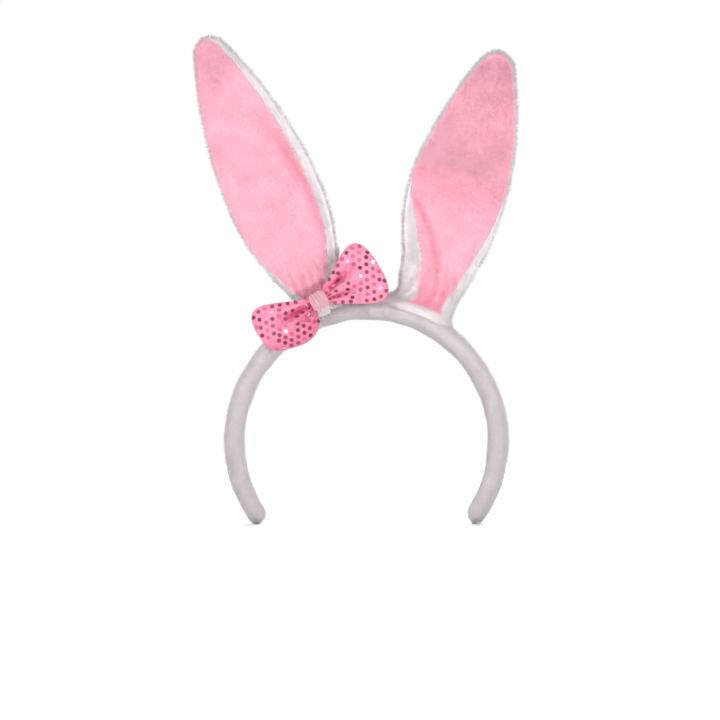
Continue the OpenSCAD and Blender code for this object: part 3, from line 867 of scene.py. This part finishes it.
def knit():
    """Thin knit: mid pink, painted a deep raspberry as painted shade in the folds, along the loops'
    edges and low on the drooping loop, with a fine grain.
    """
    material, tree, shader = nodes_of("sequin_knit", 0.7, 0.1)
    deep = mark_value(tree, "deep")
    soft = mixed(tree, noise(tree, 260), (0.57, 0.15, 0.24), (0.70, 0.23, 0.34))
    # Painted shade: the folds, the loops' edges and the low side of the drooping loop are painted a deep
    # raspberry.
    tree.links.new(mixed(tree, deep, soft, (0.40, 0.013, 0.075)), shader.inputs["Base Color"])
    grained(tree, shader, noise(tree, 2400), 0.5, 0.15)
    return material


sequin_knit = knit()
loops = {}
for side, word in ((-1, "right"), (1, "left")):
    skin, core, x, deep = loop_skin(side)
    skin = stuffed(word + "_stuffing", skin, 4, 2.2)
    loops[word] = (skin, core, x)
    loop = made(word + "_bow_loop", [woven(skin, core, {"deep": deep})], sequin_knit)
    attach(loop, "bow")
    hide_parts(f"bow_{word}_loop")
    inner = skin - 1.1 * outward(skin, core, True)
    stuffing = made(word + "_bow_stuffing", [woven(inner[3:-5], core[3:-5], plain(inner[3:-5]))], wadding)
    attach(stuffing, "bow")
    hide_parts(f"bow_{word}_wadding")

# ---- Sequins ----
# Small dished discs of metallised film, sewn flat in rows that spread from the pinch. Every other
# row stops where the rows come too close. Some are painted blackish raspberry, a painted reflection
# of the darker surroundings in the foil; the rest are pink.

sequin_r = 1.2
sequin_step = 4.1
row_step = 0.215         # from row to row, as a part of half of the loop's height
first_sequin = 7.5       # along the loop, from the middle of the knot
row_room = 2.6           # the least distance from row to row that leaves room for all of them
thinned_room = 1.35      # and for every other one
sequin_lift = 0.12       # from the cloth to a sequin's back


def sequin_places(side, word):
    """Where the sequins lie on a loop, front and back: a point on the skin and its normal, read from
    the grid at the nearest row and between two columns."""
    skin, core, x = loops[word]
    normal = outward(skin, core, True)
    spots = []
    for n in range(-4, 5):
        along = np.arange(first_sequin + (n % 2) * sequin_step / 2, loop_end - sequin_r, sequin_step)
        above, below, closed = loop_size(side, along)
        tall = np.where(n > 0, above, below) * row_step * closed
        keep = (tall > row_room) | ((n % 2 == 0) & (tall > thinned_room)) | ((n == 0) & (closed > 0.3))
        spots += [(a, n * row_step) for a in along[keep]]
    spots = np.array(spots)
    spots = np.concatenate([np.c_[spots, np.ones(len(spots))], np.c_[spots, -np.ones(len(spots))]])
    row = np.interp(spots[:, 0], x, np.arange(loop_rows))
    turn = np.where(spots[:, 2] > 0, 2 * np.pi - np.arccos(spots[:, 1]), np.arccos(spots[:, 1]))
    column = turn / (2 * np.pi) * loop_columns
    i, j = np.minimum(row.astype(int), loop_rows - 2), column.astype(int) % loop_columns
    s, t = (row - i)[:, None], (column - column.astype(int))[:, None]
    k = (j + 1) % loop_columns
    near = skin[i, j] * (1 - t) + skin[i, k] * t
    far = skin[i + 1, j] * (1 - t) + skin[i + 1, k] * t
    return near * (1 - s) + far * s, normal[i, j]


def sequin_disc(sides=12):
    """One sequin: a rim, a dished middle on top, and a flat back, as points and triangles."""
    turn = np.linspace(0, 2 * np.pi, sides, endpoint=False)
    ring = np.stack([np.cos(turn), np.sin(turn)], -1) * sequin_r
    points = np.concatenate([np.c_[ring, np.full(sides, 0.34)], np.c_[ring, np.full(sides, 0.16)],
                             np.c_[ring * 0.35, np.full(sides, 0.16)], [[0, 0, 0.12], [0, 0, 0.0]]])
    n = np.arange(sides)
    m = (n + 1) % sides
    top, low, dish = n, n + sides, n + 2 * sides
    top_m, low_m, dish_m = m, m + sides, m + 2 * sides
    hub, under = np.full(sides, 3 * sides), np.full(sides, 3 * sides + 1)
    faces = np.concatenate([np.stack(f, -1) for f in (
        (dish, dish_m, hub), (dish, top, top_m), (dish, top_m, dish_m), (top, low, low_m),
        (top, low_m, top_m), (low_m, low, under))])
    return points, faces


def foil():
    """Metallised film: pinks by the mark foil, and on some sequins a blackish raspberry, a painted reflection of
    the darker surroundings.
    """
    material, tree, shader = nodes_of("sequin_film", 0.25)
    pale = mixed(tree, mark_value(tree, "foil"), (0.72, 0.22, 0.36), (0.50, 0.07, 0.19))
    colour = mixed(tree, mark_value(tree, "painted_dark_reflection"), pale, (0.13, 0.018, 0.05))
    tree.links.new(colour, shader.inputs["Base Color"])
    shader.inputs["Metallic"].default_value = 0.35
    shader.inputs["Coat Weight"].default_value = 0.15
    shader.inputs["Coat Roughness"].default_value = 0.12
    return material


sequin_film = foil()
for side, word in ((-1, "right"), (1, "left")):
    rng = np.random.default_rng(300 + side)
    at, out = sequin_places(side, word)
    out = unit(out + rng.normal(size=out.shape) * 0.09)
    first = unit(np.cross(out, [0.3, 0.2, 1.0]))
    second = np.cross(out, first)
    disc, disc_faces = sequin_disc()
    count = len(at)
    points = (at[:, None] + disc[:, 0, None] * first[:, None] + disc[:, 1, None] * second[:, None]
              + (disc[:, 2, None] + sequin_lift) * out[:, None]).reshape(-1, 3)
    faces = (np.arange(count)[:, None, None] * len(disc) + disc_faces).reshape(-1, 3)
    # Painted reflection: about six sequins in ten get a blackish raspberry for the darker surroundings seen in the
    # foil.
    painted_dark_reflection = (rng.random(count) < 0.6).astype(float) * rng.uniform(0.7, 1.0, count)
    values = {"foil": np.repeat(rng.random(count), len(disc)), "painted_dark_reflection": np.repeat(painted_dark_reflection, len(disc))}
    spot = (np.arange(count) + 0.5) / count
    place = np.repeat(np.stack([spot, 0 * spot + 0.5], -1), disc_faces.size, 0)
    facing = np.repeat(out, len(disc), 0)
    sequins = made(word + "_bow_sequins", [(points, faces, values, place, facing)], sequin_film)
    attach(sequins, "bow")
    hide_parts(f"bow_{word}_sequins")

# ---- Knot ----
# A strip of pale satin, gathered along its length, wrapped once round the pinch of the bow, and sewn
# shut at the back. It holds the two loops together.

knot_half_w = 4.9
knot_half_t = 7.6
knot_half_h = 5.6


def satin():
    """Pale satin with threads across the wrap and a soft shine."""
    material, tree, shader = nodes_of("pale_satin", 0.38, 0.4)
    tree.links.new(mixed(tree, noise(tree, 420), (0.42, 0.21, 0.25), (0.52, 0.30, 0.34)),
                   shader.inputs["Base Color"])
    grained(tree, shader, noise(tree, 3000, 1.0), 0.4, 0.1)
    return material


x = np.sin(np.linspace(-np.pi / 2, np.pi / 2, 56)) * knot_half_w
turn = np.linspace(0, 2 * np.pi, 72, endpoint=False)
x_grid, turn_grid = np.meshgrid(x, turn, indexing="ij")
full = np.clip(1 - np.abs(x_grid / (knot_half_w + 0.02)) ** 5, 0.0, 1) ** 0.3
crease = 0.32 * np.cos(x_grid * 3.3 + 0.9 * np.sin(turn_grid))
crease = crease + 0.2 * np.cos(x_grid * 6.1 + 1.4 * np.cos(turn_grid))
swell = full * (1 - 0.03 * (x_grid / knot_half_w) ** 2) + crease * full / 6.5
high = knot_half_h * np.sign(np.cos(turn_grid)) * np.abs(np.cos(turn_grid)) ** 0.75 * swell
deep = knot_half_t * np.sign(np.sin(turn_grid)) * np.abs(np.sin(turn_grid)) ** 0.75 * swell
skin = np.stack([x_grid, deep, high], -1) @ bow_frame(1) + knot
core = np.stack([x, 0 * x, 0 * x], -1) @ bow_frame(1) + knot
wrap = made("bow_knot_wrap", [woven(skin, core, plain(skin))], satin())
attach(wrap, "bow")
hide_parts("bow_knot")

# ---- Felt patch ----
# A small oblong of pale felt sewn to the front of the band with four stitches. The thread shank of
# the bow is fastened to it.

patch_half_w = 4.6
patch_half_h = 5.4
patch_t = 1.6
patch_mid = head_r + 12.6
felt = finish("pale_felt", 0.95, (0.64, 0.60, 0.61), 1500, 0.25, sheen=0.3)
bow_angle = math.atan2(knot[0], knot[2])
rise = np.sin(np.linspace(-np.pi / 2, np.pi / 2, 34)) * patch_half_h
turn = np.linspace(0, 2 * np.pi, 40, endpoint=False)
rise_grid, turn_grid = np.meshgrid(rise, turn, indexing="ij")
full = np.clip(1 - np.abs(rise_grid / (patch_half_h + 0.02)) ** 6, 0, 1) ** (1 / 4)
x = patch_half_w * full * np.sign(np.cos(turn_grid)) * np.abs(np.cos(turn_grid)) ** 0.6
y = patch_t / 2 * np.minimum(full * 2, 1) * np.sign(np.sin(turn_grid)) * np.abs(np.sin(turn_grid)) ** 0.5
y = y - band_w / 2 - patch_t / 2
radial = np.array([math.sin(bow_angle), 0, math.cos(bow_angle)])
tangent = np.array([math.cos(bow_angle), 0, -math.sin(bow_angle)])
patch_frame = np.stack([tangent, [0, 1, 0], radial])
skin = np.stack([x, y, rise_grid + patch_mid], -1) @ patch_frame
core = np.stack([0 * rise, 0 * rise + y.mean(), rise + patch_mid], -1) @ patch_frame
patch = made("bow_felt_patch", [woven(skin, core, plain(skin))], felt)
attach(patch, "crown")
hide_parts("bow_patch")

# ---- Seam ----
# The sleeve is closed along the back of the band with a row of whip stitches in thick thread, which
# sink into the pile.

stitch_r = 0.4
stitch_pitch = 3.6
stitch_across = 1.6      # from side to side of the seam
stitch_rise = 0.9        # how far a stitch arches out of the cloth
seam_from = 2.0          # from the top of the band to the first stitch
thread = finish("thread", 0.6, (0.80, 0.78, 0.78), 1900, 0.15, sheen=0.2)
for side, word in ((-1, "right"), (1, "left")):
    parts = []
    for n in range(int((mid_r * leg_to - 4) / stitch_pitch)):
        step = np.linspace(0, 1, 7)
        angle = (seam_from + stitch_pitch * (n + 0.1 + 0.7 * step)) / mid_r
        back = band_w / 2 - pile_room + stitch_rise * np.sin(np.pi * step) - 0.1
        path = band_point(side, angle, stitch_across * (step - 0.5), back)
        rings, line = tube(path, stitch_r, np.array([0.0, 1.0, 0.0]), 6)
        parts.append(woven(rings, line, plain(rings)))
    seam = made(word + "_band_seam", parts, thread)
    bends_at_leg(seam)
    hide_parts(word + "_leg_seam", *(["crown_seam"] if side > 0 else []))

# ---- Inner parts ----
# The springy strip, its padding, the wire ends and their binding, and the bow's inner thread and
# pinched cloth stay as they are in the frame, and get the finish of what they are made of.

strip = finish("plastic_strip", 0.45, (0.86, 0.86, 0.84), 700, 0.03)
finishes = {"plastic_strip": strip, "wadding": wadding, "steel_wire": steel_wire, "thread": thread,
            "sequin_cloth": sequin_knit}
for part in frame["record"]["subparts"]:
    node = frame["nodes"][part["node"]]
    if not node.hide_render and part["material_slot"] in finishes:
        node.data.materials.clear()
        node.data.materials.append(finishes[part["material_slot"]])
